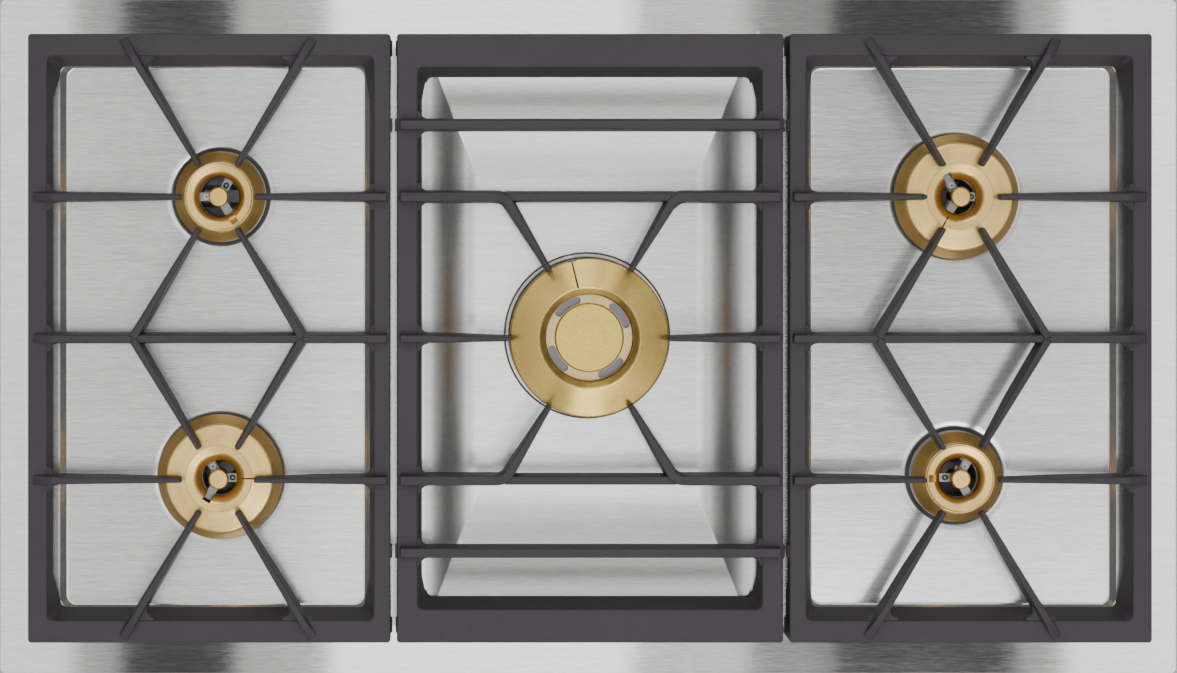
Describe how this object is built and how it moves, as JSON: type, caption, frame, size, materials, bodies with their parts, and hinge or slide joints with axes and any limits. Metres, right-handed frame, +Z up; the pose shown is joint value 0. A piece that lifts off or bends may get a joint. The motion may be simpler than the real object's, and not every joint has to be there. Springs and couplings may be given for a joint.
{
  "type": "gas cooktop",
  "caption": "Built-in gas cooktop: brushed steel plate with side brass burners, a central wok burner and cast-iron pan supports, with gas rail and taps in the tray below.",
  "frame": {"origin": "centre of the worktop cut-out, level with the worktop's top face, where the foam seal rests", "axes": "+X to the user's right, +Y to the back, +Z up"},
  "size_m": [0.908, 0.52, 0.111],
  "materials": {
    "plate_steel": "brushed along the width",
    "tray_steel": "galvanised",
    "cast_iron": "matt enamelled, fine cast grain",
    "foot_rubber": "matt",
    "rubber": "closed-cell foam",
    "burner_brass": "turned, satin",
    "fitting_brass": "machined",
    "cup_aluminium": "die-cast",
    "pipe_aluminium": "drawn",
    "ceramic": "unglazed",
    "turned_steel": "turned",
    "screw_zinc": "zinc plated",
    "module_plastic": "moulded"
  },
  "bodies": {
    "chassis": {"back_left_burner_cup": "cup_aluminium", "back_left_burner_stud": "burner_brass", "back_left_electrode": "ceramic", "back_right_burner_cup": "cup_aluminium", "back_right_burner_stud": "burner_brass", "back_right_electrode": "ceramic", "base_tray": "tray_steel", "clamp_screws": "screw_zinc", "front_left_burner_cup": "cup_aluminium", "front_left_burner_stud": "burner_brass", "front_left_electrode": "ceramic", "front_right_burner_cup": "cup_aluminium", "front_right_burner_stud": "burner_brass", "front_right_electrode": "ceramic", "gas_injectors": "fitting_brass", "gas_inlet": "fitting_brass", "gas_pipes": "pipe_aluminium", "ignition_module": "module_plastic", "manifold_rail": "pipe_aluminium", "rail_brackets": "tray_steel", "rim_seal": "rubber", "tap_body_1": "fitting_brass", "tap_body_2": "fitting_brass", "tap_body_3": "fitting_brass", "tap_body_4": "fitting_brass", "tap_body_5": "fitting_brass", "thermocouples": "turned_steel", "top_plate": "plate_steel", "tray_screws": "screw_zinc", "wok_burner_cup": "cup_aluminium", "wok_electrode": "ceramic", "worktop_clamps": "tray_steel"},
    "support_left": {"pan_support_left": "cast_iron", "support_feet_left": "foot_rubber"},
    "support_centre": {"pan_support_centre": "cast_iron", "support_feet_centre": "foot_rubber"},
    "support_right": {"pan_support_right": "cast_iron", "support_feet_right": "foot_rubber"},
    "back_left_ring": {"back_left_burner_ring": "burner_brass"},
    "back_left_cap": {"back_left_burner_cap": "burner_brass"},
    "front_left_ring": {"front_left_burner_ring": "burner_brass"},
    "front_left_cap": {"front_left_burner_cap": "burner_brass"},
    "back_right_ring": {"back_right_burner_ring": "burner_brass"},
    "back_right_cap": {"back_right_burner_cap": "burner_brass"},
    "front_right_ring": {"front_right_burner_ring": "burner_brass"},
    "front_right_cap": {"front_right_burner_cap": "burner_brass"},
    "wok_ring": {"wok_burner_ring": "burner_brass"},
    "wok_cap": {"wok_burner_cap": "burner_brass"},
    "wok_inner": {"wok_inner_ring": "burner_brass"},
    "wok_centre": {"wok_centre_cap": "burner_brass"},
    "plug_1": {"tap_plug_1": "fitting_brass"},
    "spindle_1": {"tap_spindle_1": "turned_steel"},
    "plug_2": {"tap_plug_2": "fitting_brass"},
    "spindle_2": {"tap_spindle_2": "turned_steel"},
    "plug_3": {"tap_plug_3": "fitting_brass"},
    "spindle_3": {"tap_spindle_3": "turned_steel"},
    "plug_4": {"tap_plug_4": "fitting_brass"},
    "spindle_4": {"tap_spindle_4": "turned_steel"},
    "plug_5": {"tap_plug_5": "fitting_brass"},
    "spindle_5": {"tap_spindle_5": "turned_steel"}
  },
  "joints": [
    {"name": "support_left_lift", "type": "slide", "parent": "chassis", "child": "support_left", "axis": [0, 0, 1], "range_m": [0, 0.15]},
    {"name": "support_centre_lift", "type": "slide", "parent": "chassis", "child": "support_centre", "axis": [0, 0, 1], "range_m": [0, 0.15]},
    {"name": "support_right_lift", "type": "slide", "parent": "chassis", "child": "support_right", "axis": [0, 0, 1], "range_m": [0, 0.15]},
    {"name": "back_left_ring_lift", "type": "slide", "parent": "chassis", "child": "back_left_ring", "axis": [0, 0, 1], "range_m": [0, 0.045]},
    {"name": "back_left_cap_lift", "type": "slide", "parent": "chassis", "child": "back_left_cap", "axis": [0, 0, 1], "range_m": [0, 0.09]},
    {"name": "front_left_ring_lift", "type": "slide", "parent": "chassis", "child": "front_left_ring", "axis": [0, 0, 1], "range_m": [0, 0.045]},
    {"name": "front_left_cap_lift", "type": "slide", "parent": "chassis", "child": "front_left_cap", "axis": [0, 0, 1], "range_m": [0, 0.09]},
    {"name": "back_right_ring_lift", "type": "slide", "parent": "chassis", "child": "back_right_ring", "axis": [0, 0, 1], "range_m": [0, 0.045]},
    {"name": "back_right_cap_lift", "type": "slide", "parent": "chassis", "child": "back_right_cap", "axis": [0, 0, 1], "range_m": [0, 0.09]},
    {"name": "front_right_ring_lift", "type": "slide", "parent": "chassis", "child": "front_right_ring", "axis": [0, 0, 1], "range_m": [0, 0.045]},
    {"name": "front_right_cap_lift", "type": "slide", "parent": "chassis", "child": "front_right_cap", "axis": [0, 0, 1], "range_m": [0, 0.09]},
    {"name": "wok_ring_lift", "type": "slide", "parent": "chassis", "child": "wok_ring", "axis": [0, 0, 1], "range_m": [0, 0.045]},
    {"name": "wok_cap_lift", "type": "slide", "parent": "chassis", "child": "wok_cap", "axis": [0, 0, 1], "range_m": [0, 0.09]},
    {"name": "wok_inner_lift", "type": "slide", "parent": "chassis", "child": "wok_inner", "axis": [0, 0, 1], "range_m": [0, 0.06]},
    {"name": "wok_centre_lift", "type": "slide", "parent": "chassis", "child": "wok_centre", "axis": [0, 0, 1], "range_m": [0, 0.105]},
    {"name": "tap_1_turn", "type": "hinge", "parent": "chassis", "child": "plug_1", "pos_m": [-0.18, -0.2272, -0.05], "axis": [0, -1, 0], "range_deg": [0, 210]},
    {"name": "tap_1_push", "type": "slide", "parent": "plug_1", "child": "spindle_1", "axis": [0, 1, 0], "range_m": [0, 0.003], "stiffness_N_per_m": 900, "springref_m": -0.004},
    {"name": "tap_2_turn", "type": "hinge", "parent": "chassis", "child": "plug_2", "pos_m": [-0.09, -0.2272, -0.05], "axis": [0, -1, 0], "range_deg": [0, 210]},
    {"name": "tap_2_push", "type": "slide", "parent": "plug_2", "child": "spindle_2", "axis": [0, 1, 0], "range_m": [0, 0.003], "stiffness_N_per_m": 900, "springref_m": -0.004},
    {"name": "tap_3_turn", "type": "hinge", "parent": "chassis", "child": "plug_3", "pos_m": [0, -0.2272, -0.05], "axis": [0, -1, 0], "range_deg": [0, 210]},
    {"name": "tap_3_push", "type": "slide", "parent": "plug_3", "child": "spindle_3", "axis": [0, 1, 0], "range_m": [0, 0.003], "stiffness_N_per_m": 900, "springref_m": -0.004},
    {"name": "tap_4_turn", "type": "hinge", "parent": "chassis", "child": "plug_4", "pos_m": [0.09, -0.2272, -0.05], "axis": [0, -1, 0], "range_deg": [0, 210]},
    {"name": "tap_4_push", "type": "slide", "parent": "plug_4", "child": "spindle_4", "axis": [0, 1, 0], "range_m": [0, 0.003], "stiffness_N_per_m": 900, "springref_m": -0.004},
    {"name": "tap_5_turn", "type": "hinge", "parent": "chassis", "child": "plug_5", "pos_m": [0.18, -0.2272, -0.05], "axis": [0, -1, 0], "range_deg": [0, 210]},
    {"name": "tap_5_push", "type": "slide", "parent": "plug_5", "child": "spindle_5", "axis": [0, 1, 0], "range_m": [0, 0.003], "stiffness_N_per_m": 900, "springref_m": -0.004}
  ],
  "couplings": [
    {"joint": "back_left_ring_lift", "follows": "support_left_lift", "ratio": 0.3},
    {"joint": "back_left_cap_lift", "follows": "support_left_lift", "ratio": 0.6},
    {"joint": "front_left_ring_lift", "follows": "support_left_lift", "ratio": 0.3},
    {"joint": "front_left_cap_lift", "follows": "support_left_lift", "ratio": 0.6},
    {"joint": "back_right_ring_lift", "follows": "support_right_lift", "ratio": 0.3},
    {"joint": "back_right_cap_lift", "follows": "support_right_lift", "ratio": 0.6},
    {"joint": "front_right_ring_lift", "follows": "support_right_lift", "ratio": 0.3},
    {"joint": "front_right_cap_lift", "follows": "support_right_lift", "ratio": 0.6},
    {"joint": "wok_ring_lift", "follows": "support_centre_lift", "ratio": 0.3},
    {"joint": "wok_cap_lift", "follows": "support_centre_lift", "ratio": 0.6},
    {"joint": "wok_inner_lift", "follows": "support_centre_lift", "ratio": 0.4},
    {"joint": "wok_centre_lift", "follows": "support_centre_lift", "ratio": 0.7}
  ]
}
